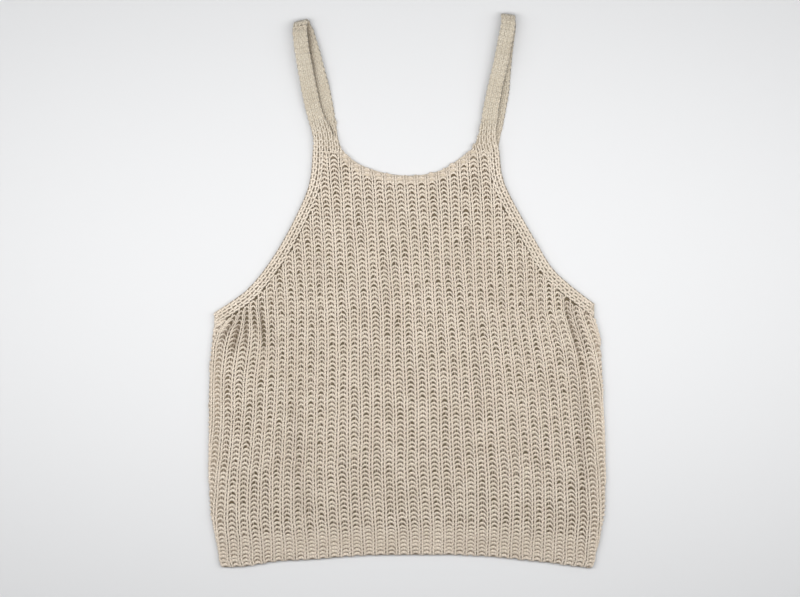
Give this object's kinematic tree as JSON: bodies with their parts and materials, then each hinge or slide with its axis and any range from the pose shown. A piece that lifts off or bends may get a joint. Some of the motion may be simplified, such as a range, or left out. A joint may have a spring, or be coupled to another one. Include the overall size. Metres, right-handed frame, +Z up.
{
  "type": "open-knit tank top",
  "caption": "Sleeveless open-rib knitted tank top with narrow shoulder straps, a curved neck and a ribbed hem, laid flat with its front on its back.",
  "frame": {"origin": "middle of the garment's box in plan, on the underside of the back, where it lies on the table", "axes": "+Y from the hem towards the straps, +X to the right as seen from the front, +Z up out of the front"},
  "size_m": [0.4437, 0.616, 0.0145],
  "materials": {
    "rib_knit": "matte, thick cotton-blend yarn in an open half-cardigan rib, oatmeal beige",
    "close_knit": "matte, the same yarn in a close plain knit, oatmeal beige"
  },
  "bodies": {
    "root": {"front_panel": "rib_knit", "front_hem_rib": "rib_knit", "front_neck_band": "close_knit", "front_left_armhole_band": "close_knit", "front_right_armhole_band": "close_knit", "back_panel": "rib_knit", "back_hem_rib": "rib_knit", "back_neck_band": "close_knit", "back_left_armhole_band": "close_knit", "back_right_armhole_band": "close_knit", "left_strap": "close_knit", "right_strap": "close_knit"}
  },
  "joints": []
}
